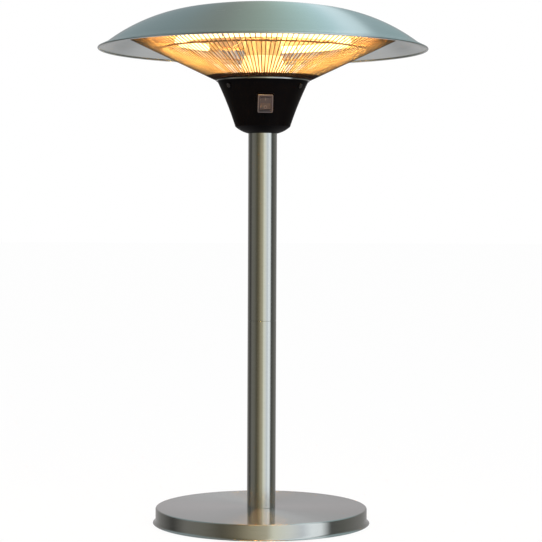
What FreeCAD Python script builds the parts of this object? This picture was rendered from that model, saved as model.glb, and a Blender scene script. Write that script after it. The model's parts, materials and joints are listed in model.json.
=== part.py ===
import FreeCAD, Part
import math
import os
from FreeCAD import Placement, Rotation, Vector

# Tabletop patio heater in millimetres, standing on z = 0, with its visible switch facing -Y

# Fits and clearances
slip_fit = 0.15
screw_clearance = 0.1
passage_clearance = 0.4
weld_gap = 0.05
seat_gap = 0.1

# Base
base_diameter = 325.0
base_height = 25.4
base_sheet = 1.2
base_edge_radius = 2.5
skirt_lift = 2.0
flare_height = 6.0
flare_width = 4.0
foot_count = 4
foot_diameter = 20.0
foot_height = 3.0
foot_edge_radius = 0.75
foot_circle_radius = 140.0
bottom_plate_thickness = 1.5
bottom_plate_margin = 0.5
plate_screw_count = 4
plate_screw_circle_radius = 100.0
plate_screw_first_angle = 45.0
ballast_diameter = 260.0
cable_channel_width = 10.0
cable_channel_depth = 9.0

# Cord bushing in the back of the skirt
bushing_bore = 7.6
bushing_wall = 1.3
bushing_flange_width = 1.4
bushing_flange_thickness = 2.0
bushing_height = 14.6

# Pole
pole_diameter = 44.0
pole_wall = 1.5
pole_length = 574.0
coupling_length = 90.0
coupling_wall = 3.0
plug_height = 22.0
wire_passage = 12.0
pole_bolt_count = 3
pole_bolt_circle_radius = 13.0
pole_bolt_diameter = 6.0
pole_bolt_depth = 18.0
pole_bolt_head_diameter = 10.0
pole_bolt_head_height = 6.0
pole_bolt_socket_width = 4.8
pole_bolt_socket_depth = 3.0
pole_bolt_first_angle = 30.0
counterbore_depth = 8.0

# Small screws
screw_diameter = 4.0
screw_head_diameter = 7.0
screw_head_height = 1.6
screw_slot_length = 4.9
screw_slot_width = 1.0
screw_slot_depth = 0.8
plate_screw_length = 12.0

# Housing
housing_height = 79.6
housing_top_radius = 69.9
housing_shoulder_radius = 42.0
housing_shoulder_height = 10.0
housing_flare_sag = 1.3
housing_seat_radius = 23.5
housing_corner_sag = 1.3
housing_wall = 3.0
housing_floor = 4.5
housing_inner_bevel = 8.8
housing_screw_angles = (-55, 55, 180)
housing_screw_drop = 9.2
lug_width = 12.0
lug_drop = 6.0
lug_thickness = 5.0

# Rocker switches
switch_angles = {"front": 0, "rear": 180}
switch_center_height = 42.6
switch_width = 22.8
switch_height = 28.0
switch_corner = 2.0
bezel_thickness = 2.2
bezel_edge_radius = 0.55
bezel_overlap = 1.8
case_wall = 1.4
case_floor = 2.0
case_depth = 16.0
case_gap = 0.2
seal_thickness = 0.8
seal_inset = 0.4
pad_proud = 0.5
pad_margin = 2.2
pad_depth = 6.0
rocker_gap = 0.4
rocker_half_throw = 10.0
rocker_recess = 0.6
rocker_rise = 3.9
rocker_web = 3.0
rocker_pin_diameter = 3.0
rocker_pin_length = 1.2
rocker_pin_clearance = 0.08
blade_width = 6.3
blade_thickness = 0.8
blade_length = 8.0
blade_pitch = 8.0

# Parts inside the housing
block_width = 44.0
block_depth = 17.0
block_height = 14.5
block_front = 25.0
tilt_switch_width = 20.0
tilt_switch_height = 24.0
tilt_switch_distance = 26.0
component_screw_margin = 4.0
component_screw_bite = 1.5

# Head plate, column and tie rod
plate_thickness = 2.0
plate_rim_depth = 2.8
plate_rim_wall = 1.2
column_diameter = 56.0
column_wall = 1.0
column_height = 89.0
cone_foot_radius = 38.5
cone_height = 35.2
cone_sheet = 1.0
insulation_inner_radius = 46.0
insulation_thickness = 3.5
stem_diameter = 8.0
stem_nut_width = 13.0
stem_nut_height = 6.5
stem_tail = 3.0
spacer_radius = 9.0
spacer_length = 24.0
washer_radius = 13.0
washer_thickness = 1.0
crown_nut_radius = 8.0
crown_nut_height = 3.2
crown_nut_edge = 1.2
crown_nut_skin = 0.8

# Reflector and shade
reflector_sheet = 0.8
reflector_flat_radius = 62.0
reflector_radius = 198.0
reflector_drop = 22.0
reflector_lip = 4.0
shade_sheet = 1.0
crown_radius = 720.0
crown_reach = 120.0
shoulder_radius = 270.0
shoulder_reach = 239.0
lip_slope = 26.0
hem_radius = 1.5
shade_diameter = 504.0

# Guard
wire_count = 144
wire_diameter = 1.8
bottom_ring_wall = 5.0
bottom_ring_overhang = 3.0
bottom_ring_height = 5.5
wire_foot_height = 1.0
mid_ring_radius = 160.5
mid_ring_diameter = 2.6
top_ring_radius = 204.0
top_ring_diameter = 3.0
top_ring_drop = 9.4
guard_clip_count = 4
guard_clip_width = 6.0
guard_clip_sheet = 1.2
guard_clip_tab = 10.0
guard_clip_root = 1.8
guard_clip_gap = 0.3

# Lamp
lamp_ring_radius = 129.5
lamp_tube_diameter = 11.0
lamp_tube_wall = 1.0
lamp_height = 58.2
lamp_gap_angle = 108.0
lamp_half_gap = 21.0
end_cap_diameter = 13.6
end_cap_angle = 9.0
filament_diameter = 1.6
filament_offset = 2.0
lamp_clip_angles = (155, 240, 330, 420)
lamp_clip_width = 2.0
lamp_clip_sheet = 1.2
lamp_clip_gap = 0.3
lamp_clip_mouth = 9.0
lead_diameter = 3.0
lead_entry_angles = (112, 82)
lead_entry_height = 70.0
lead_reach = 60.0
lead_drop_radius = 12.0
lead_bend_share = 0.3
lead_droop = 6.0
lead_stub = 12.0
lead_inset = 26.0
lead_inset_turn = 3.0
lead_exit_depth = 8.0
grommet_wall = 1.6
grommet_flange = 1.4
grommet_lip = 1.5

# Heights that follow from the sizes above
plate_screw_seat = foot_height
ballast_bottom = foot_height + bottom_plate_thickness
ballast_top = base_height - base_sheet
pole_top = base_height + pole_length
pole_joint = base_height + pole_length / 2
housing_top = pole_top + housing_height
plate_top = housing_top + plate_thickness
reflector_seat = plate_top + column_height
spacer_bottom = reflector_seat + reflector_sheet
spacer_top = spacer_bottom + spacer_length
inner_crown_radius = crown_radius - shade_sheet
crown_sag = inner_crown_radius - math.sqrt(inner_crown_radius ** 2 - spacer_radius ** 2)
shade_apex = spacer_top + crown_sag + shade_sheet
lamp_z = plate_top + lamp_height
lead_z = plate_top + lead_entry_height

# Radii that follow
base_radius = base_diameter / 2
pole_radius = pole_diameter / 2
pole_bore = pole_radius - pole_wall
plate_radius = housing_top_radius + passage_clearance + plate_rim_wall
bottom_ring_radius = plate_radius + bottom_ring_overhang
column_radius = column_diameter / 2
stem_hole = stem_diameter / 2 + passage_clearance
plug_radius = pole_bore - slip_fit
pole_bolt_hole = pole_bolt_diameter / 2 + screw_clearance
screw_hole = screw_diameter / 2 + screw_clearance


# Shape helpers
def rz(radius, height):
    return Vector(radius, 0, height)


def polar(radius, angle, height):
    turn = math.radians(angle)
    return Vector(radius * math.cos(turn), radius * math.sin(turn), height)


def line(start, end):
    return Part.LineSegment(start, end).toShape()


def arc(centre, start, end):
    middle = (start - centre) + (end - centre)
    middle.normalize()
    return Part.Arc(start, centre + middle * (start - centre).Length, end).toShape()


def turned(edges):
    face = Part.Face(Part.Wire(edges))
    return face.revolve(Vector(0, 0, 0), Vector(0, 0, 1), 360)


def closed_lines(points):
    return [line(start, end) for start, end in zip(points, points[1:] + points[:1])]


def turned_outline(points):
    return turned(closed_lines(points))


def cylinder(radius, bottom, top, x=0, y=0):
    return Part.makeCylinder(radius, top - bottom, Vector(x, y, bottom))


def tube(outer_radius, inner_radius, bottom, top):
    return cylinder(outer_radius, bottom, top).cut(cylinder(inner_radius, bottom, top))


def cross_bar(radius, length, height):
    return Part.makeCylinder(radius, length, Vector(-length / 2, 0, height), Vector(1, 0, 0))


def block(width, depth, bottom, top, x=0, y=0):
    corner = Vector(x - width / 2, y - depth / 2, bottom)
    return Part.makeBox(width, depth, top - bottom, corner)


def rounded_block(width, depth, corner, bottom, top):
    box = block(width, depth, bottom, top)
    uprights = [edge for edge in box.Edges if abs(edge.tangentAt(0).z) > 0.5]
    return box.makeFillet(corner, uprights)


def hex_prism(across_flats, bottom, top):
    corners = [polar(across_flats / math.sqrt(3), 60 * side, bottom) for side in range(6)]
    face = Part.Face(Part.Wire(closed_lines(corners)))
    return face.extrude(Vector(0, 0, top - bottom))


def moved(shape, placement):
    copy = shape.copy()
    copy.Placement = placement.multiply(copy.Placement)
    return copy


def turn_about_axis(angle):
    return Placement(Vector(0, 0, 0), Rotation(Vector(0, 0, 1), angle))


def around(shape, angles):
    return [moved(shape, turn_about_axis(angle)) for angle in angles]


def even_angles(count, first=0.0):
    return [first + 360.0 * index / count for index in range(count)]


def upside_down(shape, height):
    flip = Placement(Vector(0, 0, height), Rotation(Vector(1, 0, 0), 180))
    return moved(shape, flip)


def ring(radius, wire, height):
    return Part.makeTorus(radius, wire / 2, Vector(0, 0, height))


def pan_screw(length):
    head = cylinder(screw_head_diameter / 2, 0, screw_head_height)
    slot_floor = screw_head_height - screw_slot_depth
    slots = block(screw_slot_length, screw_slot_width, slot_floor, screw_head_height)
    slots = slots.fuse(block(screw_slot_width, screw_slot_length, slot_floor, screw_head_height))
    return head.cut(slots).fuse(cylinder(screw_diameter / 2, -length, 0)).removeSplitter()


def cap_bolt(length):
    head = cylinder(pole_bolt_head_diameter / 2, 0, pole_bolt_head_height)
    socket_floor = pole_bolt_head_height - pole_bolt_socket_depth
    socket = hex_prism(pole_bolt_socket_width, socket_floor, pole_bolt_head_height)
    return head.cut(socket).fuse(cylinder(pole_bolt_diameter / 2, -length, 0)).removeSplitter()


def bent_tube(points, radius):
    edges = []
    start = points[0]
    for before, corner, after in zip(points, points[1:], points[2:]):
        incoming = before - corner
        outgoing = after - corner
        turn = math.pi - incoming.getAngle(outgoing)
        set_back = lead_bend_share * min(incoming.Length, outgoing.Length)
        bend_radius = set_back / math.tan(turn / 2)
        incoming.normalize()
        outgoing.normalize()
        bisector = incoming + outgoing
        bisector.normalize()
        centre = corner + bisector * (bend_radius / math.cos(turn / 2))
        bend_start = corner + incoming * set_back
        bend_end = corner + outgoing * set_back
        edges.append(line(start, bend_start))
        edges.append(arc(centre, bend_start, bend_end))
        start = bend_end
    edges.append(line(start, points[-1]))
    path = Part.Wire(edges)
    section = Part.Wire(Part.makeCircle(radius, points[0], points[1] - points[0]))
    return Part.Solid(path.makePipeShell([section], True, True))


# Base: cover, ballast, bottom plate, feet and cord bushing
pole_bolt_angles = even_angles(pole_bolt_count, pole_bolt_first_angle)
plate_screw_angles = even_angles(plate_screw_count, plate_screw_first_angle)


def pole_bolt_holes(bottom, top):
    hole = cylinder(pole_bolt_hole, bottom, top, pole_bolt_circle_radius)
    return Part.makeCompound(around(hole, pole_bolt_angles))


def make_base_cover():
    flare_top = skirt_lift + flare_height
    flare_radius = (flare_width ** 2 + flare_height ** 2) / (2 * flare_width)
    flare_centre = rz(base_radius + flare_radius, flare_top)
    edge_centre = rz(base_radius - base_edge_radius, base_height - base_edge_radius)
    inner_reach = math.sqrt((flare_radius + base_sheet) ** 2 - flare_height ** 2)
    outer = [
        rz(0, base_height),
        rz(edge_centre.x, base_height),
        rz(base_radius, edge_centre.z),
        rz(base_radius, flare_top),
        rz(base_radius + flare_width, skirt_lift),
    ]
    inner = [
        rz(flare_centre.x - inner_reach, skirt_lift),
        rz(base_radius - base_sheet, flare_top),
        rz(base_radius - base_sheet, edge_centre.z),
        rz(edge_centre.x, base_height - base_sheet),
        rz(0, base_height - base_sheet),
    ]
    cover = turned([
        line(outer[0], outer[1]),
        arc(edge_centre, outer[1], outer[2]),
        line(outer[2], outer[3]),
        arc(flare_centre, outer[3], outer[4]),
        line(outer[4], inner[0]),
        arc(flare_centre, inner[0], inner[1]),
        line(inner[1], inner[2]),
        arc(edge_centre, inner[2], inner[3]),
        line(inner[3], inner[4]),
        line(inner[4], outer[0]),
    ])
    neck_hole = bushing_bore / 2 + bushing_wall + slip_fit
    start = Vector(0, base_radius - 2 * base_sheet, bushing_height)
    cord_hole = Part.makeCylinder(neck_hole, 4 * base_sheet, start, Vector(0, 1, 0))
    cover = cover.cut(cylinder(wire_passage / 2, ballast_top, base_height))
    return cover.cut(pole_bolt_holes(ballast_top, base_height)).cut(cord_hole)


def make_ballast():
    body = cylinder(ballast_diameter / 2, ballast_bottom, ballast_top)
    body = body.cut(cylinder(wire_passage / 2, ballast_bottom, ballast_top))
    body = body.cut(pole_bolt_holes(ballast_bottom, ballast_top))
    head_room = pole_bolt_head_diameter / 2 + passage_clearance
    seat = ballast_bottom + counterbore_depth
    counterbore = cylinder(head_room, ballast_bottom, seat, pole_bolt_circle_radius)
    body = body.cut(Part.makeCompound(around(counterbore, pole_bolt_angles)))
    channel_top = ballast_bottom + cable_channel_depth
    half_way = ballast_diameter / 2
    channel = block(cable_channel_width, ballast_diameter, ballast_bottom, channel_top, 0, half_way)
    body = body.cut(channel)
    tapped_top = plate_screw_seat + plate_screw_length
    tapped = cylinder(screw_hole, ballast_bottom, tapped_top, plate_screw_circle_radius)
    return body.cut(Part.makeCompound(around(tapped, plate_screw_angles)))


def make_bottom_plate():
    radius = base_radius - base_sheet - bottom_plate_margin
    plate = cylinder(radius, foot_height, ballast_bottom)
    hole = cylinder(screw_hole, foot_height, ballast_bottom, plate_screw_circle_radius)
    return plate.cut(Part.makeCompound(around(hole, plate_screw_angles)))


def make_plate_screws():
    screw = upside_down(pan_screw(plate_screw_length), plate_screw_seat)
    screw.translate(Vector(plate_screw_circle_radius, 0, 0))
    return Part.makeCompound(around(screw, plate_screw_angles))


def make_feet():
    foot = cylinder(foot_diameter / 2, 0, foot_height, foot_circle_radius)
    lower_edge = [edge for edge in foot.Edges if edge.BoundBox.ZMax < foot_edge_radius]
    foot = foot.makeFillet(foot_edge_radius, lower_edge)
    return Part.makeCompound(around(foot, even_angles(foot_count)))


def make_bushing():
    neck = bushing_bore / 2 + bushing_wall
    flange = neck + bushing_flange_width
    wall_outer = base_radius + seat_gap
    wall_inner = math.sqrt((base_radius - base_sheet) ** 2 - flange ** 2) - seat_gap
    profile = [
        rz(bushing_bore / 2, wall_inner - bushing_flange_thickness),
        rz(flange, wall_inner - bushing_flange_thickness),
        rz(flange, wall_inner),
        rz(neck, wall_inner),
        rz(neck, wall_outer),
        rz(flange, wall_outer),
        rz(flange, wall_outer + bushing_flange_thickness),
        rz(bushing_bore / 2, wall_outer + bushing_flange_thickness),
    ]
    to_back = Placement(Vector(0, 0, bushing_height), Rotation(Vector(1, 0, 0), -90))
    return moved(turned_outline(profile), to_back)


# Pole: two tubes, the sleeve in their joint, and a bolted plug at each end
def make_plug(bottom, tapped_from_top):
    top = bottom + plug_height
    body = tube(plug_radius, wire_passage / 2, bottom, top)
    if tapped_from_top:
        return body.cut(pole_bolt_holes(top - pole_bolt_depth, top))
    return body.cut(pole_bolt_holes(bottom, bottom + pole_bolt_depth))


def make_pole_section(bottom, top):
    return tube(pole_radius, pole_bore, bottom, top)


def make_coupling():
    outer = pole_bore - slip_fit
    half = coupling_length / 2
    return tube(outer, outer - coupling_wall, pole_joint - half, pole_joint + half)


def make_foot_bolts():
    seat = ballast_bottom + counterbore_depth
    bolt = upside_down(cap_bolt(base_height + pole_bolt_depth - seat), seat)
    bolt.translate(Vector(pole_bolt_circle_radius, 0, 0))
    return Part.makeCompound(around(bolt, pole_bolt_angles))


def make_head_bolts():
    bolt = cap_bolt(housing_floor + pole_bolt_depth)
    bolt.translate(Vector(pole_bolt_circle_radius, 0, pole_top + housing_floor))
    return Part.makeCompound(around(bolt, pole_bolt_angles))


# Housing: the flank is one shallow arc, so its radius and tilt at any height come from its circle
flank_foot = rz(housing_shoulder_radius, pole_top + housing_shoulder_height)
flank_top = rz(housing_top_radius, housing_top)
flank_chord = flank_top - flank_foot
flank_half = flank_chord.Length / 2
flank_radius = (flank_half ** 2 + housing_flare_sag ** 2) / (2 * housing_flare_sag)
flank_outward = Vector(flank_chord.z, 0, -flank_chord.x).normalize()
flank_centre = (flank_foot + flank_top) * 0.5 + flank_outward * (flank_radius - housing_flare_sag)


def flank_reach(height, depth=0.0):
    rise = height - flank_centre.z
    return flank_centre.x - math.sqrt((flank_radius + depth) ** 2 - rise ** 2)


def wall_frame(height, angle):
    rise = height - flank_centre.z
    tilt = math.degrees(math.asin(rise / flank_radius))
    on_front = Placement(Vector(0, -flank_reach(height), height), Rotation(Vector(1, 0, 0), 90 + tilt))
    return turn_about_axis(angle).multiply(on_front)


def switch_frames():
    height = pole_top + switch_center_height
    return {name: wall_frame(height, angle) for name, angle in switch_angles.items()}


def screw_frames():
    height = housing_top - housing_screw_drop
    return [wall_frame(height, angle) for angle in housing_screw_angles]


window_width = switch_width - 2 * bezel_overlap
window_height = switch_height - 2 * bezel_overlap
case_width = window_width - 2 * case_gap
case_height = window_height - 2 * case_gap
well_width = case_width - 2 * case_wall
well_height = case_height - 2 * case_wall
seal_top = pad_proud + seal_thickness
bezel_top = seal_top + bezel_thickness


def make_housing():
    seat = rz(housing_seat_radius, pole_top)
    corner_chord = flank_foot - seat
    corner_out = Vector(corner_chord.z, 0, -corner_chord.x).normalize()
    corner_middle = (seat + flank_foot) * 0.5 + corner_out * housing_corner_sag
    outside = turned([
        line(rz(0, pole_top), seat),
        Part.Arc(seat, corner_middle, flank_foot).toShape(),
        arc(flank_centre, flank_foot, flank_top),
        line(flank_top, rz(0, housing_top)),
        line(rz(0, housing_top), rz(0, pole_top)),
    ])
    floor = pole_top + housing_floor
    inner_foot = rz(flank_reach(flank_foot.z, housing_wall), flank_foot.z)
    inner_top = rz(flank_reach(housing_top, housing_wall), housing_top)
    inner_corner = rz(inner_foot.x - housing_inner_bevel, floor)
    cavity = turned([
        line(rz(0, floor), inner_corner),
        line(inner_corner, inner_foot),
        arc(flank_centre, inner_foot, inner_top),
        line(inner_top, rz(0, housing_top)),
        line(rz(0, housing_top), rz(0, floor)),
    ])
    pad_width = switch_width + 2 * pad_margin
    pad_height = switch_height + 2 * pad_margin
    pad = rounded_block(pad_width, pad_height, switch_corner + pad_margin, -pad_depth, pad_proud)
    window = block(window_width, window_height, -case_depth, bezel_top)
    for frame in switch_frames().values():
        outside = outside.fuse(moved(pad, frame))
    shell = outside.cut(cavity)
    for frame in switch_frames().values():
        shell = shell.cut(moved(window, frame))
    screw_passage = cylinder(screw_hole, -2 * housing_wall, housing_wall)
    for frame in screw_frames():
        shell = shell.cut(moved(screw_passage, frame))
    shell = shell.cut(cylinder(wire_passage / 2, pole_top, floor))
    return shell.cut(pole_bolt_holes(pole_top, floor)).removeSplitter()


lug_face = housing_wall + lug_width ** 2 / (8 * flank_reach(housing_top - housing_screw_drop)) + slip_fit


def make_housing_screws():
    screw = pan_screw(lug_face + lug_thickness)
    screw.translate(Vector(0, 0, seat_gap))
    return Part.makeCompound([moved(screw, frame) for frame in screw_frames()])


# Rocker switches, each in the frame of its wall: local z points out of the housing, local y up the wall
rocker_pivot = bezel_top - rocker_recess - rocker_rise


def make_switch_case():
    bezel = rounded_block(switch_width, switch_height, switch_corner, seal_top, bezel_top)
    rim = [edge for edge in bezel.Edges if edge.BoundBox.ZMin > bezel_top - bezel_edge_radius]
    bezel = bezel.makeFillet(bezel_edge_radius, rim)
    case = bezel.fuse(block(case_width, case_height, -case_depth, seal_top))
    case = case.cut(block(well_width, well_height, case_floor - case_depth, bezel_top))
    pin_hole = rocker_pin_diameter / 2 + rocker_pin_clearance
    return case.cut(cross_bar(pin_hole, case_width, rocker_pivot)).removeSplitter()


def make_rocker():
    width = well_width - 2 * rocker_gap
    drum_radius = well_height / 2 - rocker_gap
    drum = cross_bar(drum_radius, width, rocker_pivot)
    reach = 1.5 * drum_radius
    valley = rocker_pivot + rocker_rise
    lift = reach * math.tan(math.radians(rocker_half_throw))
    outline = [
        Vector(-width / 2, -reach, rocker_pivot - rocker_web),
        Vector(-width / 2, reach, rocker_pivot - rocker_web),
        Vector(-width / 2, reach, valley + lift),
        Vector(-width / 2, 0, valley),
        Vector(-width / 2, -reach, valley + lift),
    ]
    paddle = Part.Face(Part.Wire(closed_lines(outline))).extrude(Vector(width, 0, 0))
    pins = cross_bar(rocker_pin_diameter / 2, width + 2 * rocker_pin_length, rocker_pivot)
    rocker = drum.common(paddle).fuse(pins).removeSplitter()
    rocker.rotate(Vector(0, 0, rocker_pivot), Vector(1, 0, 0), -rocker_half_throw)
    return rocker


def make_switch_terminals():
    top = -case_depth
    blades = [
        block(blade_width, blade_thickness, top - blade_length, top, 0, step * blade_pitch)
        for step in (-1, 0, 1)
    ]
    return Part.makeCompound(blades)


def make_seal():
    outer = block(switch_width - 2 * seal_inset, switch_height - 2 * seal_inset, pad_proud, seal_top)
    return outer.cut(block(window_width, window_height, pad_proud, seal_top))


# Parts that hang from the head plate inside the housing
block_middle = block_front + block_depth / 2
tilt_middle = -(tilt_switch_distance + tilt_switch_width / 2)
block_screw_x = block_width / 2 - component_screw_margin
component_screw_spots = {
    "block_left": Vector(-block_screw_x, block_middle, block_height),
    "block_right": Vector(block_screw_x, block_middle, block_height),
    "tilt": Vector(tilt_middle, 0, tilt_switch_height),
}


def component_screw_holes(bottom, top):
    spots = component_screw_spots.values()
    return Part.makeCompound([cylinder(screw_hole, bottom, top, spot.x, spot.y) for spot in spots])


def make_terminal_block():
    bottom = housing_top - block_height
    body = block(block_width, block_depth, bottom, housing_top, 0, block_middle)
    return body.cut(component_screw_holes(bottom, housing_top))


def make_tilt_switch():
    bottom = housing_top - tilt_switch_height
    body = block(tilt_switch_width, tilt_switch_width, bottom, housing_top, tilt_middle)
    return body.cut(component_screw_holes(bottom, housing_top))


def make_component_screws():
    screws = []
    for spot in component_screw_spots.values():
        screw = upside_down(pan_screw(spot.z + component_screw_bite), housing_top - spot.z)
        screw.translate(Vector(spot.x, spot.y, 0))
        screws.append(screw)
    return Part.makeCompound(screws)


# Head plate, column, tie rod and reflector
lead_spots = [polar(lead_drop_radius, angle, 0) for angle in lead_entry_angles]


def make_head_plate():
    disc = cylinder(plate_radius, housing_top, plate_top)
    rim = tube(plate_radius, plate_radius - plate_rim_wall, plate_top - plate_rim_depth, housing_top)
    plate = disc.fuse(rim)
    lug_length = lug_drop + 2 * housing_screw_drop
    lug_middle = lug_length / 2 - lug_drop
    lug = block(lug_width, lug_length, -lug_face - lug_thickness, -lug_face, 0, lug_middle)
    below_plate = cylinder(plate_radius, pole_top, plate_top)
    tapped = cylinder(screw_hole, -lug_face - 2 * lug_thickness, 0)
    for frame in screw_frames():
        plate = plate.fuse(moved(lug, frame).common(below_plate))
    for frame in screw_frames():
        plate = plate.cut(moved(tapped, frame))
    lead_middle = (lead_spots[0] + lead_spots[1]) * 0.5
    lead_spread = (lead_spots[0] - lead_spots[1]).Length / 2
    lead_hole = lead_spread + lead_diameter / 2 + passage_clearance
    plate = plate.cut(cylinder(stem_hole, housing_top, plate_top))
    plate = plate.cut(cylinder(lead_hole, housing_top, plate_top, lead_middle.x, lead_middle.y))
    return plate.cut(component_screw_holes(housing_top, housing_top + component_screw_bite)).removeSplitter()


def make_insulation_ring():
    outer = bottom_ring_radius - bottom_ring_wall - passage_clearance
    return tube(outer, insulation_inner_radius, plate_top, plate_top + insulation_thickness)


grommet_neck = lead_diameter / 2 + slip_fit + grommet_wall


def make_column():
    body = tube(column_radius, column_radius - column_wall, plate_top, reflector_seat)
    for angle in lead_entry_angles:
        middle = Vector(0, 0, lead_z)
        outward = polar(1, angle, 0)
        entry = Part.makeCylinder(grommet_neck + slip_fit, 2 * column_radius, middle, outward)
        body = body.cut(entry)
    return body


def make_cone():
    top = plate_top + cone_height
    inner_top = column_radius + slip_fit
    return turned_outline([
        rz(cone_foot_radius - cone_sheet, plate_top),
        rz(cone_foot_radius, plate_top),
        rz(inner_top + cone_sheet, top),
        rz(inner_top, top),
    ])


def make_lead_grommets():
    bore = lead_diameter / 2 + slip_fit
    flange = grommet_neck + grommet_flange
    wall_outer = column_radius + seat_gap
    wall_inner = math.sqrt((column_radius - column_wall) ** 2 - grommet_neck ** 2) - grommet_lip
    grommet = turned_outline([
        rz(bore, wall_inner),
        rz(grommet_neck, wall_inner),
        rz(grommet_neck, wall_outer),
        rz(flange, wall_outer),
        rz(flange, wall_outer + grommet_lip),
        rz(bore, wall_outer + grommet_lip),
    ])
    along_x = Placement(Vector(0, 0, lead_z), Rotation(Vector(0, 1, 0), 90))
    return Part.makeCompound(around(moved(grommet, along_x), lead_entry_angles))


def make_stem():
    top = shade_apex + washer_thickness + crown_nut_height - crown_nut_skin
    return cylinder(stem_diameter / 2, housing_top - stem_nut_height - stem_tail, top)


def make_stem_nut():
    bottom = housing_top - stem_nut_height
    nut = hex_prism(stem_nut_width, bottom, housing_top)
    return nut.cut(cylinder(stem_diameter / 2 + screw_clearance, bottom, housing_top))


def reflector_underside(radius):
    slope = reflector_drop / (reflector_radius - reflector_flat_radius)
    return reflector_seat - max(0.0, radius - reflector_flat_radius) * slope


def make_reflector():
    rim = reflector_underside(reflector_radius)
    outer = reflector_radius + reflector_sheet
    return turned_outline([
        rz(stem_hole, reflector_seat),
        rz(reflector_flat_radius, reflector_seat),
        rz(reflector_radius, rim),
        rz(reflector_radius, rim - reflector_lip),
        rz(outer, rim - reflector_lip),
        rz(outer, rim + reflector_sheet),
        rz(reflector_flat_radius, reflector_seat + reflector_sheet),
        rz(stem_hole, reflector_seat + reflector_sheet),
    ])


def make_spacer():
    return tube(spacer_radius, stem_hole, spacer_bottom, spacer_top)


# Shade: crown and shoulder are tangent arcs, then a straight lip with a rolled hem
crown_centre = rz(0, shade_apex - crown_radius)
crown_turn = math.asin(crown_reach / crown_radius)
shoulder_offset = crown_radius - shoulder_radius
shoulder_shift = rz(shoulder_offset * math.sin(crown_turn), shoulder_offset * math.cos(crown_turn))
shoulder_centre = crown_centre + shoulder_shift
shoulder_turn = math.asin((shoulder_reach - shoulder_centre.x) / shoulder_radius)


def shade_point(centre, radius, turn):
    return centre + rz(radius * math.sin(turn), radius * math.cos(turn))


def shade_underside(radius):
    reach = radius - shoulder_centre.x
    return shoulder_centre.z + math.sqrt((shoulder_radius - shade_sheet) ** 2 - reach ** 2)


def make_shade():
    lip_turn = math.radians(lip_slope)
    hem_reach = shade_diameter / 2 - hem_radius
    outer_end = shade_point(shoulder_centre, shoulder_radius, shoulder_turn)
    inner_end = shade_point(shoulder_centre, shoulder_radius - shade_sheet, shoulder_turn)
    lip_run = hem_reach - outer_end.x
    outer_lip = outer_end + rz(lip_run, -lip_run * math.tan(lip_turn))
    inner_lip = outer_lip - rz(shade_sheet * math.sin(lip_turn), shade_sheet * math.cos(lip_turn))
    apex = rz(0, shade_apex)
    inner_apex = rz(0, shade_apex - shade_sheet)
    outer_join = shade_point(crown_centre, crown_radius, crown_turn)
    inner_join = shade_point(crown_centre, crown_radius - shade_sheet, crown_turn)
    sheet = turned([
        arc(crown_centre, apex, outer_join),
        arc(shoulder_centre, outer_join, outer_end),
        line(outer_end, outer_lip),
        line(outer_lip, inner_lip),
        line(inner_lip, inner_end),
        arc(shoulder_centre, inner_end, inner_join),
        arc(crown_centre, inner_join, inner_apex),
        line(inner_apex, apex),
    ])
    hem = ring(hem_reach, 2 * hem_radius, outer_lip.z - hem_radius)
    shade = sheet.fuse(hem)
    return shade.cut(cylinder(stem_hole, spacer_bottom, shade_apex)).removeSplitter()


def make_washer():
    return tube(washer_radius, stem_hole, shade_apex, shade_apex + washer_thickness)


def make_crown_nut():
    bottom = shade_apex + washer_thickness
    top = bottom + crown_nut_height
    edge = rz(crown_nut_radius, bottom + crown_nut_edge)
    rise = crown_nut_height - crown_nut_edge
    dome_radius = (crown_nut_radius ** 2 + rise ** 2) / (2 * rise)
    bore = stem_diameter / 2 + screw_clearance
    body = turned([
        line(rz(0, bottom), rz(crown_nut_radius, bottom)),
        line(rz(crown_nut_radius, bottom), edge),
        arc(rz(0, top - dome_radius), edge, rz(0, top)),
        line(rz(0, top), rz(0, bottom)),
    ])
    return body.cut(cylinder(bore, bottom, top - crown_nut_skin))


# Guard: straight wires run from a flat bottom ring to the top ring, and the round rings lie inside them
top_ring_z = shade_underside(top_ring_radius) - top_ring_drop
guard_foot = rz(bottom_ring_radius, plate_top + wire_foot_height)


def ring_lift(ring_diameter):
    return (ring_diameter + wire_diameter) / 2 + weld_gap


top_ring_centre = rz(top_ring_radius, top_ring_z)
guard_span = top_ring_centre - guard_foot
span_slope = math.atan2(guard_span.z, guard_span.x)
guard_slope = span_slope - math.asin(ring_lift(top_ring_diameter) / guard_span.Length)
wire_direction = rz(math.cos(guard_slope), math.sin(guard_slope))
wire_inward = rz(-math.sin(guard_slope), math.cos(guard_slope))
wire_step = 360.0 / wire_count


def make_bottom_ring():
    inner = bottom_ring_radius - bottom_ring_wall
    return tube(bottom_ring_radius, inner, plate_top, plate_top + bottom_ring_height)


def make_guard_wires():
    slant = wire_diameter / 2 * wire_direction.z
    start_gap = (weld_gap + slant) / wire_direction.x
    start = guard_foot + wire_direction * start_gap
    reach = top_ring_radius + top_ring_diameter / 2
    length = (reach - start.x) / wire_direction.x
    wire = Part.makeCylinder(wire_diameter / 2, length, start, wire_direction)
    return Part.makeCompound(around(wire, even_angles(wire_count)))


def make_mid_ring():
    lift = wire_inward * ring_lift(mid_ring_diameter)
    run = (mid_ring_radius - guard_foot.x - lift.x) / wire_direction.x
    centre = guard_foot + wire_direction * run + lift
    return ring(mid_ring_radius, mid_ring_diameter, centre.z)


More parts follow.
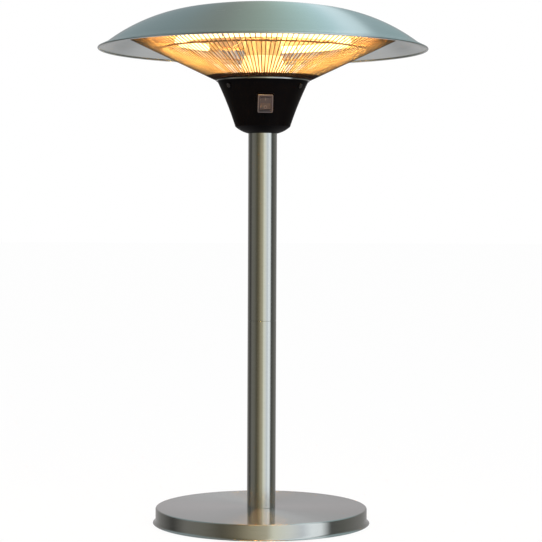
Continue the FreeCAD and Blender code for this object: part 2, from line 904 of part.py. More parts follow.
def make_guard_clips():
    inner = top_ring_radius - top_ring_diameter / 2 - guard_clip_gap
    outer = top_ring_radius + top_ring_diameter / 2
    sole = top_ring_z - top_ring_diameter / 2 - guard_clip_gap
    leg = inner - guard_clip_sheet
    tab = leg - guard_clip_tab
    outline = [
        rz(leg, sole - guard_clip_sheet),
        rz(outer, sole - guard_clip_sheet),
        rz(outer, sole),
        rz(inner, sole),
        rz(inner, shade_underside(inner) - seat_gap),
        rz(tab, shade_underside(tab) - seat_gap),
        rz(tab, shade_underside(tab) - seat_gap - guard_clip_sheet),
        rz(leg, shade_underside(leg) - seat_gap - guard_clip_root),
    ]
    clip = Part.Face(Part.Wire(closed_lines(outline))).extrude(Vector(0, guard_clip_width, 0))
    clip.translate(Vector(0, -guard_clip_width / 2, 0))
    first_gap = wire_step * (wire_count // (2 * guard_clip_count) + 0.5)
    return Part.makeCompound(around(clip, even_angles(guard_clip_count, first_gap)))


# Lamp: a C-shaped tube with a ceramic cap on each end, two filaments, clips and leads
lamp_start = lamp_gap_angle + lamp_half_gap
lamp_sweep = 360 - 2 * lamp_half_gap


def ring_arc(radius, height, first_angle, sweep):
    centre = polar(lamp_ring_radius, first_angle, height)
    tangent = polar(1, first_angle + 90, 0)
    disc = Part.Face(Part.Wire(Part.makeCircle(radius, centre, tangent)))
    return disc.revolve(Vector(0, 0, 0), Vector(0, 0, 1), sweep)


def make_lamp_tube():
    outer = ring_arc(lamp_tube_diameter / 2, lamp_z, lamp_start, lamp_sweep)
    return outer.cut(ring_arc(lamp_tube_diameter / 2 - lamp_tube_wall, lamp_z, lamp_start, lamp_sweep))


def make_filaments():
    heights = (lamp_z - filament_offset, lamp_z + filament_offset)
    return Part.makeCompound([ring_arc(filament_diameter / 2, z, lamp_start, lamp_sweep) for z in heights])


def make_end_caps():
    first = ring_arc(end_cap_diameter / 2, lamp_z, lamp_start - end_cap_angle, end_cap_angle)
    second = ring_arc(end_cap_diameter / 2, lamp_z, lamp_start + lamp_sweep, end_cap_angle)
    return Part.makeCompound([first, second])


def make_lamp_clips():
    inner = lamp_tube_diameter / 2 + lamp_clip_gap
    outer = inner + lamp_clip_sheet
    start = Vector(lamp_ring_radius, -lamp_clip_width / 2, lamp_z)
    across = Vector(0, 1, 0)
    grip = Part.makeCylinder(outer, lamp_clip_width, start, across)
    post_top = reflector_underside(lamp_ring_radius + lamp_clip_sheet / 2) - seat_gap
    post = block(lamp_clip_sheet, lamp_clip_width, lamp_z, post_top, lamp_ring_radius)
    mouth = block(lamp_clip_mouth, lamp_clip_width, lamp_z - outer, lamp_z, lamp_ring_radius)
    clip = grip.fuse(post).cut(mouth)
    clip = clip.cut(Part.makeCylinder(inner, lamp_clip_width, start, across)).removeSplitter()
    return Part.makeCompound(around(clip, lamp_clip_angles))


def make_leads():
    cap_ends = (lamp_start - end_cap_angle, lamp_start + lamp_sweep + end_cap_angle)
    leads = []
    for end_angle, side, entry_angle, drop in zip(cap_ends, (-1, 1), lead_entry_angles, lead_spots):
        start = polar(lamp_ring_radius, end_angle, lamp_z)
        stub = start + polar(lead_stub, end_angle + 90 * side, 0)
        droop = polar(lamp_ring_radius - lead_inset, end_angle + lead_inset_turn * side, lamp_z - lead_droop)
        entry = polar(lead_reach, entry_angle, lead_z)
        top = Vector(drop.x, drop.y, lead_z)
        exit_z = housing_top - lead_exit_depth
        foot = Vector(drop.x, drop.y, exit_z)
        clamp = Vector(drop.x, block_front, exit_z)
        leads.append(bent_tube([start, stub, droop, entry, top, foot, clamp], lead_diameter / 2))
    return Part.makeCompound(leads)


nodes = {
    "base_cover": make_base_cover(),
    "base_ballast": make_ballast(),
    "base_bottom_plate": make_bottom_plate(),
    "base_plate_screws": make_plate_screws(),
    "base_feet": make_feet(),
    "cable_bushing": make_bushing(),
    "pole_foot_plug": make_plug(base_height, False),
    "pole_foot_bolts": make_foot_bolts(),
    "pole_lower": make_pole_section(base_height, pole_joint),
    "pole_coupling": make_coupling(),
    "pole_upper": make_pole_section(pole_joint, pole_top),
    "pole_head_plug": make_plug(pole_top - plug_height, True),
    "pole_head_bolts": make_head_bolts(),
    "housing_shell": make_housing(),
    "housing_screws": make_housing_screws(),
    "switch_seals": Part.makeCompound([moved(make_seal(), frame) for frame in switch_frames().values()]),
    "terminal_block": make_terminal_block(),
    "tilt_switch": make_tilt_switch(),
    "head_component_screws": make_component_screws(),
    "head_plate": make_head_plate(),
    "insulation_ring": make_insulation_ring(),
    "column": make_column(),
    "column_cone": make_cone(),
    "lead_grommets": make_lead_grommets(),
    "center_stem": make_stem(),
    "stem_nut": make_stem_nut(),
    "reflector": make_reflector(),
    "shade_spacer": make_spacer(),
    "shade": make_shade(),
    "crown_washer": make_washer(),
    "crown_nut": make_crown_nut(),
    "guard_bottom_ring": make_bottom_ring(),
    "guard_mid_ring": make_mid_ring(),
    "guard_top_ring": ring(top_ring_radius, top_ring_diameter, top_ring_z),
    "guard_wires": make_guard_wires(),
    "guard_clips": make_guard_clips(),
    "lamp_tube": make_lamp_tube(),
    "lamp_filaments": make_filaments(),
    "lamp_end_caps": make_end_caps(),
    "lamp_clips": make_lamp_clips(),
    "lamp_leads": make_leads(),
}
for name, frame in switch_frames().items():
    nodes["switch_" + name + "_case"] = moved(make_switch_case(), frame)
    nodes["switch_" + name + "_rocker"] = moved(make_rocker(), frame)
    nodes["switch_" + name + "_terminals"] = moved(make_switch_terminals(), frame)

os.makedirs("parts", exist_ok=True)
for name, shape in nodes.items():
    shape.exportStep("parts/" + name + ".step")
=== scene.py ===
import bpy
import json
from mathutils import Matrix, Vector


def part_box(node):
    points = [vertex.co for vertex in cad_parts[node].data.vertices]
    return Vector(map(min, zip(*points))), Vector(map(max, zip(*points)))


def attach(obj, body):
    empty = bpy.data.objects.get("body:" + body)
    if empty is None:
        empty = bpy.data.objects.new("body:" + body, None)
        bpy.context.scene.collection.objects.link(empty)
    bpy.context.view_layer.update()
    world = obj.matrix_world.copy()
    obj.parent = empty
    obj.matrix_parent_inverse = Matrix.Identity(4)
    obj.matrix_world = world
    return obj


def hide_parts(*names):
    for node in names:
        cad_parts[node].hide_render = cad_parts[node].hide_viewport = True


bl_info = {
    "name": "Tabletop Patio Heater",
    "version": (1, 0, 0),
    "blender": (4, 5, 0),
    "location": "View3D > Sidebar > Heater",
    "description": "Dresses the construction of a tabletop patio heater with finished pieces",
    "category": "Object",
}

import json
import math

import bpy
from bpy.props import FloatProperty, FloatVectorProperty, IntProperty, PointerProperty
from mathutils import Matrix, Quaternion, Vector

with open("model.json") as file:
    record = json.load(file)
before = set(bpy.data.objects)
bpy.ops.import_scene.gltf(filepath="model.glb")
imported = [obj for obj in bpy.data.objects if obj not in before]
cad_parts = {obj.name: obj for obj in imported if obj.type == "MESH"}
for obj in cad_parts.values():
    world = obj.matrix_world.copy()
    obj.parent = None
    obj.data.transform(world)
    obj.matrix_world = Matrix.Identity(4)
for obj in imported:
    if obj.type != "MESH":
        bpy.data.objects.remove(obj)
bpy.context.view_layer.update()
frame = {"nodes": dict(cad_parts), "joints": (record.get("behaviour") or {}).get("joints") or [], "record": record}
JOINTS = {joint["name"]: joint for joint in frame["joints"]}
FULL_TURN = 2 * math.pi
MERGE_DISTANCE = 1e-6
# Steps of a full turn on large and on small round pieces
FINE_ROUND = 192
SMALL_ROUND = 96
# A face looks along an axis when more than this much of its normal does
FACING = 0.9


# Sizes and colours that a user would change

def length(name, description, default):
    return FloatProperty(name=name, description=description, default=default, min=0.0,
                         unit="LENGTH", precision=5)


def angle(name, description, degrees):
    return FloatProperty(name=name, description=description, default=math.radians(degrees), subtype="ANGLE")


def colour(name, description, default):
    return FloatVectorProperty(name=name, description=description, default=default, size=3,
                               min=0.0, max=1.0, subtype="COLOR")


class HeaterShadeSizes(bpy.types.PropertyGroup):
    """Sizes of the shade and of the nut and the washer on its crown"""
    sheet: length("Shade sheet", "Thickness of the shade's steel", 0.001)
    hole_radius: length("Stem hole", "Radius of the holes for the tie rod", 0.0044)
    crown_radius: length("Crown radius", "Radius of curvature of the shade's flatter middle", 0.720)
    crown_reach: length("Crown reach", "Distance from the axis at which the shoulder begins", 0.120)
    shoulder_radius: length("Shoulder radius", "Radius of curvature of its steeper outer part", 0.270)
    shoulder_reach: length("Shoulder reach", "Distance from the axis at which the lip begins", 0.239)
    lip_slope: angle("Lip slope", "Slope of the straight lip", 26.0)
    hem_radius: length("Hem radius", "Radius of the rolled edge", 0.0015)
    nut_edge: length("Nut edge", "Height of the crown nut's straight side", 0.0012)
    nut_bevel: length("Nut bevel", "Bevel on the crown nut's foot", 0.0003)
    washer_bevel: length("Washer bevel", "Bevel on the washer's edges", 0.0002)


class HeaterHeadSizes(bpy.types.PropertyGroup):
    """Sizes of the flange, the column, the cone at its foot and the reflector"""
    flange_sheet: length("Flange sheet", "Thickness of the flange", 0.002)
    flange_edge: length("Flange edge", "Rounding of the flange's edge", 0.0009)
    flange_rim: length("Flange rim", "Wall of the flange's turned-down rim", 0.0012)
    flange_drop: length("Flange drop", "Reach of that rim below the top of the housing", 0.0008)
    column_wall: length("Column wall", "Wall of the column and of its cone", 0.001)
    cone_gap: length("Cone gap", "Gap between the cone and the column", 0.00015)
    cone_bevel: length("Cone bevel", "Bevel on the cone's upper edge", 0.0003)
    reflector_sheet: length("Reflector sheet", "Thickness of the reflector", 0.0008)
    reflector_flat: length("Reflector flat", "Radius of the reflector's flat middle", 0.062)
    reflector_lip: length("Reflector lip", "Height of the reflector's turned-down edge", 0.004)


class HeaterBaseSizes(bpy.types.PropertyGroup):
    """Sizes of the base and the pole"""
    sheet: length("Base sheet", "Thickness of the base's steel", 0.0012)
    radius: length("Base radius", "Radius of the upright skirt", 0.1625)
    hole_radius: length("Base hole", "Radius of the hole under the pole", 0.006)
    edge_radius: length("Edge radius", "Rounding of the top edge", 0.0025)
    flare_height: length("Flare height", "Height of the flared foot of the skirt", 0.006)
    cord_hole_radius: length("Cord hole", "Radius of the hole that holds the cord bushing", 0.0053)
    pole_wall: length("Pole wall", "Wall of the pole tubes", 0.0015)
    pole_bevel: length("Pole bevel", "Bevel on the ends of the pole tubes", 0.0004)


class HeaterSwitchSizes(bpy.types.PropertyGroup):
    """Sizes of the rocker switches in the housing"""
    wall_tilt: angle("Wall tilt", "Lean of the housing's wall behind a switch", 21.538)
    width: length("Switch width", "Width of the switch frame", 0.0228)
    height: length("Switch height", "Height of the switch frame", 0.0280)
    corner: length("Switch corner", "Corner radius of the switch frame", 0.002)
    bezel_bottom: length("Frame bottom", "From the rocker's pivot to the underside of the frame", 0.0023)
    bezel_top: length("Frame top", "From the rocker's pivot to the face of the frame", 0.0045)
    rim_width: length("Rim width", "Width of the frame's raised rim", 0.0012)
    rim_edge: length("Rim edge", "Rounding of the rim's outer edge", 0.0005)
    rim_slant: length("Rim slant", "Width of the slant from the rim down to the field", 0.0002)
    rim_step: length("Rim step", "Height of the raised rim over the frame's field", 0.0004)
    field_ledge: length("Field ledge", "Width of the field's outer border", 0.0008)
    well_width: length("Well width", "Width of the opening around the rocker", 0.0160)
    well_height: length("Well height", "Height of the opening around the rocker", 0.0212)
    well_depth: length("Well depth", "Depth of the opening around the rocker", 0.0175)
    valley: length("Rocker valley", "From the pivot to the fold of the rocker's face", 0.0039)
    half_throw: angle("Half throw", "Half of the rocker's travel", 10.0)
    mark_stroke: length("Mark stroke", "Width of the marks' strokes", 0.0011)
    mark_depth: length("Mark depth", "Thickness of the marks", 0.00025)
    mark_proud: length("Mark height", "Height of the marks over the rocker's face, and their bevel", 0.00008)
    bar_length: length("Bar length", "Length of the bar mark", 0.0046)
    bar_reach: length("Bar reach", "From the rocker's fold to the middle of the bar", 0.0066)
    ring_radius: length("Ring radius", "Radius of the ring mark, at the middle of its stroke", 0.0021)
    ring_reach: length("Ring reach", "From the rocker's fold to the middle of the ring", 0.0056)


class HeaterGuardSizes(bpy.types.PropertyGroup):
    """Sizes of the guard and the lamp"""
    wire_count: IntProperty(name="Wires", description="Number of straight wires", default=144, min=8)
    wire_radius: length("Wire radius", "Radius of a straight wire", 0.0009)
    wire_gap: length("Weld gap", "Gap between a wire and the ring that it is welded to", 0.00005)
    wire_foot: length("Wire foot", "Height of a wire's lower end over the foot of the bottom ring", 0.001)
    # Between these heights the wires' lit colour grows darker
    darkening_start: length("Darkening start", "Height over the table at which the wires begin to brown", 0.722)
    darkening_end: length("Darkening end", "Height over the table from which they are brown", 0.742)
    band_wall: length("Band wall", "Thickness of the flat bottom ring", 0.005)
    band_edge: length("Band edge", "Bevel on the bottom ring's upper edges", 0.0005)
    lamp_gap_middle: angle("Lamp gap", "Direction of the middle of the gap in the lamp ring", 108.0)
    lamp_half_gap: angle("Lamp half gap", "Half of the gap in the lamp ring", 21.0)
    lamp_radius: length("Lamp radius", "Radius of the lamp's glass tube", 0.0055)
    lamp_ring: length("Lamp ring", "Radius of the lamp ring", 0.1295)
    cap_angle: angle("Cap angle", "Part of the ring that a ceramic cap takes", 9.0)
    cap_bevel: length("Cap bevel", "Rounding of a cap's edges", 0.0012)


class HeaterColours(bpy.types.PropertyGroup):
    """Colours of the finishes"""
    shade: colour("Shade", "Brushed steel of the shade", (0.58, 0.63, 0.63))
    steel: colour("Steel", "Brushed steel of the pole and the base", (0.62, 0.61, 0.59))
    bright: colour("Bright steel", "Polished steel of the flange", (0.50, 0.49, 0.48))
    column: colour("Column", "Heat-browned steel of the column", (0.205, 0.175, 0.147))
    cone: colour("Cone", "Satin steel of the cone", (0.335, 0.28, 0.29))
    # Painted light: the wires' bright colour stands for the lamp's light on their inner side, and the next colour
    # is painted shade on their outer side
    wire: colour("Wire", "Bright inner side of the guard's wires", (0.30, 0.23, 0.125))
    wire_shaded_side: colour("Wire shade", "Painted shade on the outer side of the guard's wires", (0.085, 0.058, 0.034))
    ring: colour("Ring", "Browned steel of the guard's round rings", (0.12, 0.07, 0.04))
    # The bottom band is very dark brown
    band: colour("Band", "Very dark brown of the guard's bottom band", (0.008, 0.004, 0.003))
    reflector: colour("Reflector", "Aluminium of the reflector", (0.75, 0.50, 0.26))
    plastic: colour("Plastic", "Black plastic of the housing", (0.0018, 0.0015, 0.0020))
    switch_rim: colour("Switch rim", "Grey rim of the switch frame", (0.120, 0.098, 0.098))
    switch_field: colour("Switch field", "Field of the switch frame", (0.048, 0.037, 0.039))
    rocker: colour("Rocker", "Plastic of the rocker", (0.050, 0.039, 0.041))
    mark: colour("Mark", "Printed marks of the rocker", (0.13, 0.105, 0.10))
    glow: colour("Glow", "Colour of the filaments' light", (1.0, 0.62, 0.22))
    quartz: colour("Quartz", "Colour of the lamp's glowing tube", (1.0, 0.78, 0.36))


# Shader nodes

def math_operator(operation):
    """A Python operator on values and its reflected form, which both add a Math node"""
    def forward(self, other):
        return self.nodes.add("Math", {"operation": operation}, {0: self, 1: other})

    def reflected(self, other):
        return self.nodes.add("Math", {"operation": operation}, {0: other, 1: self})

    return forward, reflected


class Value:
    """One node socket that takes part in Python expressions"""
    __add__, __radd__ = math_operator("ADD")
    __sub__, __rsub__ = math_operator("SUBTRACT")
    __mul__, __rmul__ = math_operator("MULTIPLY")
    __truediv__, __rtruediv__ = math_operator("DIVIDE")
    __pow__, __rpow__ = math_operator("POWER")

    def __init__(self, nodes, socket):
        self.nodes = nodes
        self.socket = socket


class Nodes:
    """The node tree of one finish, of the world or of a stage piece"""

    def __init__(self, tree):
        self.tree = tree
        tree.nodes.clear()

    def add(self, kind, settings=None, sockets=None, output=0):
        node = self.tree.nodes.new("ShaderNode" + kind)
        for name, setting in (settings or {}).items():
            if name == "stops":
                self.set_stops(node.color_ramp.elements, setting)
            else:
                setattr(node, name, setting)
        for key, value in (sockets or {}).items():
            if isinstance(value, Value):
                self.tree.links.new(value.socket, node.inputs[key])
            else:
                node.inputs[key].default_value = value
        return Value(self, node.outputs[output]) if node.outputs else None

    def set_stops(self, elements, stops):
        while len(elements) < len(stops):
            elements.new(1.0)
        for element, (position, tint) in zip(elements, sorted(stops)):
            element.position = position
            element.color = (*tint, 1.0)

    def place(self):
        return self.add("TexCoord", output="Object")

    def axes(self):
        spot = self.place()
        return [self.add("SeparateXYZ", None, {0: spot}, output=axis) for axis in range(3)]

    def noise(self, vector, scale, detail=2.0, roughness=0.5):
        sockets = {"Vector": vector, "Scale": scale, "Detail": detail, "Roughness": roughness}
        return self.add("TexNoise", None, sockets)

    def ramp(self, factor, stops):
        return self.add("ValToRGB", {"stops": stops}, {0: factor})

    def blend(self, factor, first, second):
        sockets = {0: factor, 6: self.tint(first), 7: self.tint(second)}
        return self.add("Mix", {"data_type": "RGBA"}, sockets, output=2)

    def tint(self, value):
        return value if isinstance(value, Value) else (*value, 1.0)

    def slope(self, value, first, last):
        sockets = {"Value": value, "From Min": first, "From Max": last}
        return self.add("MapRange", {"interpolation_type": "SMOOTHSTEP"}, sockets)

    def bump(self, height, strength, distance):
        sockets = {"Strength": strength, "Distance": distance, "Height": height}
        return self.add("Bump", None, sockets)

    def surface(self, shader):
        self.add("OutputMaterial", None, {"Surface": shader})

    def principled(self, sockets):
        self.surface(self.add("BsdfPrincipled", None, sockets))


def new_finish(name):
    material = bpy.data.materials.new(name)
    material.use_nodes = True
    return material, Nodes(material.node_tree)


def shaded(tint, factor):
    return tuple(channel * factor for channel in tint)


def varied(middle, noise, depth):
    """A number that a noise moves up and down round its middle"""
    return (noise - 0.5) * depth + middle


def turned_metal(name, tint, roughness, anisotropy, streak_depth, haze):
    """Steel brushed on a lathe: fine streaks run round the axis, and highlights spread across them"""
    least_radius = 1e-5
    streaks_around = 2.5
    streaks_per_metre = 900.0
    haze_roughness = 0.45
    haze_anisotropy = 0.97
    material, nodes = new_finish(name)
    x, y, z = nodes.axes()
    radius = (x * x + y * y) ** 0.5 + least_radius
    streak_place = nodes.add("CombineXYZ", None, {
        0: x / radius * streaks_around,
        1: y / radius * streaks_around,
        2: (radius - z) * streaks_per_metre,
    })
    streak = nodes.noise(streak_place, scale=1.0, detail=3.0, roughness=0.65)
    smudge = nodes.noise(nodes.place(), scale=14.0)
    worn = varied((streak - 0.5) * streak_depth, smudge, depth=0.07)
    sockets = {
        "Base Color": nodes.blend(streak, shaded(tint, 0.90), shaded(tint, 1.06)),
        "Metallic": 1.0,
        "Roughness": worn + roughness,
        "Anisotropic": anisotropy,
        "Anisotropic Rotation": 0.25,
        "Normal": nodes.bump(streak, strength=0.12, distance=0.00008),
    }
    shader = nodes.add("BsdfPrincipled", None, sockets)
    if haze:
        wide = {**sockets, "Roughness": worn + haze_roughness, "Anisotropic": haze_anisotropy}
        spread = nodes.add("BsdfPrincipled", None, wide)
        shader = nodes.add("MixShader", None, {0: haze, 1: shader, 2: spread})
    nodes.surface(shader)
    return material


def drawn_metal(name, tint, roughness, scale, stain):
    """Drawn or rolled metal with soft stains and small scratches"""
    scratch_scale = scale * 12.0
    material, nodes = new_finish(name)
    spot = nodes.place()
    cloud = nodes.noise(spot, scale, detail=3.0)
    scratch = nodes.noise(spot, scratch_scale, roughness=0.7)
    nodes.principled({
        "Base Color": nodes.blend(cloud, stain, tint),
        "Metallic": 1.0,
        "Roughness": varied(roughness, scratch, depth=0.18),
        "Normal": nodes.bump(scratch, strength=0.10, distance=0.0001),
    })
    return material


def moulded(name, tint, roughness, grain, specular, metallic=0.0):
    """Moulded, cast or painted surface with a fine grain and faint uneven tone"""
    tone_scale = grain * 0.02
    material, nodes = new_finish(name)
    spot = nodes.place()
    skin = nodes.noise(spot, grain)
    tone = nodes.noise(spot, tone_scale)
    nodes.principled({
        "Base Color": nodes.blend(tone, shaded(tint, 0.82), shaded(tint, 1.18)),
        "Metallic": metallic,
        "Roughness": varied(roughness, skin, depth=0.20),
        "Specular IOR Level": specular,
        "Normal": nodes.bump(skin, strength=0.20, distance=0.0001),
    })
    return material


def glowing(name, tint, strength):
    """Hot quartz or wire that glows a little unevenly along its length"""
    cooler = (0.40, 0.14, 0.04)
    hotter = (0.75, 0.40, 0.16)
    material, nodes = new_finish(name)
    uneven = nodes.noise(nodes.place(), scale=30.0)
    nodes.principled({
        "Base Color": nodes.blend(uneven, cooler, hotter),
        "Roughness": uneven * 0.1 + 0.08,
        "Emission Color": nodes.blend(uneven, shaded(tint, 0.85), tint),
        "Emission Strength": strength,
    })
    return material


def stain_and_skin(nodes):
    """The patches that heat leaves on metal, and its fine grain"""
    spot = nodes.place()
    return nodes.noise(spot, scale=45.0, detail=3.0), nodes.noise(spot, scale=900.0)


def browned(name, tint, roughness, metallic):
    """Dull metal that the heat has browned in places"""
    material, nodes = new_finish(name)
    stain, skin = stain_and_skin(nodes)
    nodes.principled({
        "Base Color": nodes.blend(stain, shaded(tint, 0.72), shaded(tint, 1.2)),
        "Metallic": metallic,
        "Roughness": varied(roughness, skin, depth=0.2),
        "Normal": nodes.bump(skin, strength=0.15, distance=0.0001),
    })
    return material


def guard_wire(name, colours, sizes):
    """Wire with a painted lit colour on its side towards the lamp and painted shade on its outer side, darker near
    its top and very dark brown at its foot
    """
    shaded_side_end = -0.85 * sizes.wire_radius
    lit_side_start = -0.35 * sizes.wire_radius
    foot_fade = 0.0005
    start, along = guard_line(sizes)[:2]
    material, nodes = new_finish(name)
    x, y, z = nodes.axes()
    reach = (x * x + y * y) ** 0.5
    # Painted light and shade: each wire's side towards the lamp gets the lit colour, and its outer side gets
    # painted shade
    inward = (z - start.z) * along.x - (reach - start.x) * along.z
    lit_side_mask = nodes.slope(inward, shaded_side_end, lit_side_start)
    # Below the top of the bottom band the wires take the band's very dark brown
    band_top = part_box("guard_bottom_ring")[1].z
    above_foot_mask = nodes.slope(z, band_top - foot_fade, band_top + foot_fade)
    # The lit colour grows darker towards the top of the guard
    darker_near_top = nodes.slope(z, sizes.darkening_start, sizes.darkening_end)
    stain, skin = stain_and_skin(nodes)
    # Painted lit colour of the inner side, with stains
    inner = nodes.blend(stain, shaded(colours.wire, 0.85), shaded(colours.wire, 1.12))
    inner = nodes.blend(darker_near_top, inner, shaded(colours.wire, 0.36))
    # Painted shade of the outer side, with stains
    outer = nodes.blend(stain, shaded(colours.wire_shaded_side, 0.72), shaded(colours.wire_shaded_side, 1.2))
    nodes.principled({
        "Base Color": nodes.blend(above_foot_mask, colours.band, nodes.blend(lit_side_mask, outer, inner)),
        "Metallic": 0.15,
        "Roughness": varied(0.65, skin, depth=0.2),
        "Specular IOR Level": 0.15,
        "Normal": nodes.bump(skin, strength=0.15, distance=0.0001),
    })
    return material


def make_finishes(colours, guard_sizes):
    """All finishes of the heater by name"""
    # Colour, roughness, anisotropy, depth of the streaks and share of a wide haze
    turned = {
        "shade_steel": (colours.shade, 0.24, 0.60, 0.10, 0.0),
        "satin_steel": (colours.steel, 0.16, 0.60, 0.10, 0.0),
        "base_steel": (colours.steel, 0.14, 0.80, 0.10, 0.16),
        "bright_steel": (colours.bright, 0.20, 0.55, 0.05, 0.0),
    }
    # Colour, roughness, stains per metre and colour of the stains
    drawn = {
        "column_steel": (colours.column, 0.42, 40.0, shaded(colours.column, 0.75)),
        "fastener_steel": ((0.62, 0.60, 0.57), 0.30, 300.0, (0.40, 0.38, 0.35)),
        "black_screw": ((0.20, 0.19, 0.185), 0.30, 400.0, (0.09, 0.085, 0.085)),
        "plug_metal": ((0.52, 0.52, 0.52), 0.40, 80.0, (0.40, 0.40, 0.40)),
        "terminal_brass": ((0.68, 0.50, 0.22), 0.32, 200.0, (0.45, 0.30, 0.12)),
    }
    # Colour, roughness and share of metal
    heated = {
        "cone_steel": (colours.cone, 0.50, 0.30),
        "round_ring": (colours.ring, 0.60, 0.10),
        "reflector_metal": (colours.reflector, 0.45, 0.50),
    }
    # Colour, roughness, grains per metre, specular level and, on iron, share of metal
    plain = {
        "guard_ring": (colours.band, 0.60, 900.0, 0.05),
        "black_plastic": (colours.plastic, 0.44, 2600.0, 0.035),
        "switch_rim": (colours.switch_rim, 0.38, 3000.0, 0.40),
        "switch_frame": (colours.switch_field, 0.42, 3000.0, 0.35),
        "switch_rocker": (colours.rocker, 0.36, 3000.0, 0.40),
        "switch_mark": (colours.mark, 0.60, 3500.0, 0.30),
        "rubber_black": ((0.012, 0.012, 0.013), 0.70, 1800.0, 0.30),
        "ballast_iron": ((0.055, 0.052, 0.050), 0.75, 500.0, 0.30, 0.4),
        "plate_paint": ((0.022, 0.022, 0.023), 0.55, 900.0, 0.35),
        "component_plastic": ((0.42, 0.40, 0.34), 0.50, 1500.0, 0.40),
        "insulation": ((0.50, 0.44, 0.36), 0.90, 700.0, 0.20),
        "lamp_ceramic": ((0.16, 0.14, 0.115), 0.62, 1400.0, 0.40),
        "lead_sleeve": ((0.28, 0.24, 0.18), 0.80, 2400.0, 0.25),
    }
    # Colour and strength of the light
    lit = {
        "lamp_glass": (colours.quartz, 3.8),
        "filament": (colours.glow, 450.0),
    }
    finishes = {"guard_wire": guard_wire("guard_wire", colours, guard_sizes)}
    makers = {turned_metal: turned, drawn_metal: drawn, browned: heated, moulded: plain, glowing: lit}
    for make, recipes in makers.items():
        for name, recipe in recipes.items():
            finishes[name] = make(name, *recipe)
    return finishes


FINISHES = {}


# Modelling steps

def select_only(*pieces):
    """Selects these pieces and makes the first of them active"""
    bpy.ops.object.select_all(action="DESELECT")
    for piece in pieces:
        piece.select_set(True)
    bpy.context.view_layer.objects.active = pieces[0]


def edit_all():
    """Goes to edit mode with all of the active piece selected"""
    bpy.ops.object.mode_set(mode="EDIT")
    bpy.ops.mesh.select_all(action="SELECT")


def begin(add, name, **sizes):
    """Adds a primitive as a new piece and leaves all of it selected in edit mode"""
    bpy.ops.object.select_all(action="DESELECT")
    add(**sizes)
    piece = bpy.context.object
    piece.name = name
    piece.data.name = name
    edit_all()
    return piece


def close(piece, smooth_angle=math.radians(32)):
    """Welds the mesh, turns its faces outwards and goes back to object mode"""
    bpy.ops.mesh.select_all(action="SELECT")
    bpy.ops.mesh.remove_doubles(threshold=MERGE_DISTANCE)
    bpy.ops.mesh.normals_make_consistent(inside=False)
    bpy.ops.object.mode_set(mode="OBJECT")
    bpy.ops.object.shade_smooth_by_angle(angle=smooth_angle)
    return piece


def settle(piece, matrix):
    """Leaves edit mode and puts a piece in its place, which goes into its mesh"""
    bpy.ops.object.mode_set(mode="OBJECT")
    select_only(piece)
    piece.matrix_world = matrix
    bpy.ops.object.transform_apply(location=True, rotation=True, scale=True)


def hand_over(piece, finish, *nodes, body="heater", slot=None):
    """Gives a piece its finish and its body, and lets it stand for construction nodes"""
    piece.data.materials.clear()
    piece.data.materials.append(FINISHES[finish])
    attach(piece, body)
    if nodes:
        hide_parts(*nodes)


def rz(radius, height):
    return Vector((radius, 0.0, height))


def arc(centre, radius, first, last, count):
    """Points on an arc in the outline's plane, with its angles in degrees above the outward direction"""
    turns = [math.radians(first + (last - first) * step / count) for step in range(count + 1)]
    return [centre + rz(radius * math.cos(turn), radius * math.sin(turn)) for turn in turns]


def tube_outline(node, bore, bevel):
    """Outline of a node's tube or washer, with bevelled outer edges"""
    low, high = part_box(node)
    return [rz(bore, low.z), rz(high.x - bevel, low.z), rz(high.x, low.z + bevel),
            rz(high.x, high.z - bevel), rz(high.x - bevel, high.z), rz(bore, high.z)]


def guard_line(sizes):
    """The start, the direction and the length of a guard wire in the outline's plane"""
    low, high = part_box("guard_bottom_ring")
    foot = rz(high.x, low.z + sizes.wire_foot)
    low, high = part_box("guard_top_ring")
    top_wire = (high.z - low.z) / 2
    top = rz(high.x - top_wire, low.z + top_wire)
    span = top - foot
    lift = top_wire + sizes.wire_radius + sizes.wire_gap
    slope = math.atan2(span.z, span.x) - math.asin(lift / span.length)
    along = rz(math.cos(slope), math.sin(slope))
    start = foot + along * ((sizes.wire_gap + sizes.wire_radius * along.z) / along.x)
    return start, along, (high.x - start.x) / along.x


def middle_height(node):
    low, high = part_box(node)
    return (low.z + high.z) / 2


def spun(name, outline, steps=FINE_ROUND):
    """Spins a closed outline round the upright axis"""
    piece = begin(bpy.ops.mesh.primitive_plane_add, name, size=0.01)
    bpy.ops.mesh.merge(type="CENTER")
    bpy.ops.transform.translate(value=outline[0])
    for here, there in zip(outline, outline[1:] + outline[:1]):
        bpy.ops.mesh.extrude_vertices_move(TRANSFORM_OT_translate={"value": there - here})
    bpy.ops.mesh.select_all(action="SELECT")
    bpy.ops.mesh.remove_doubles(threshold=MERGE_DISTANCE)
    bpy.ops.mesh.spin(steps=steps, angle=FULL_TURN, center=(0, 0, 0), axis=(0, 0, 1))
    return close(piece)


def swept(name, radius, height, wire, first, sweep, steps, sides):
    """Sweeps a round section along a level ring, or along a part of one"""
    piece = begin(bpy.ops.mesh.primitive_circle_add, name, vertices=sides, radius=wire,
                  fill_type="NOTHING" if sweep >= FULL_TURN else "NGON")
    upright = Matrix.Rotation(math.radians(90), 4, "X")
    settle(piece, Matrix.Rotation(first, 4, "Z") @ Matrix.Translation((radius, 0, height)) @ upright)
    edit_all()
    bpy.ops.mesh.spin(steps=steps, angle=sweep, center=(0, 0, 0), axis=(0, 0, -1))
    return close(piece, math.radians(50))


def cut_with(piece, cutter):
    """Cuts a piece with another, and deletes the other"""
    select_only(piece)
    boolean = piece.modifiers.new("Boolean", "BOOLEAN")
    boolean.operation = "DIFFERENCE"
    boolean.object = cutter
    bpy.ops.object.modifier_apply(modifier=boolean.name)
    bpy.data.objects.remove(cutter)


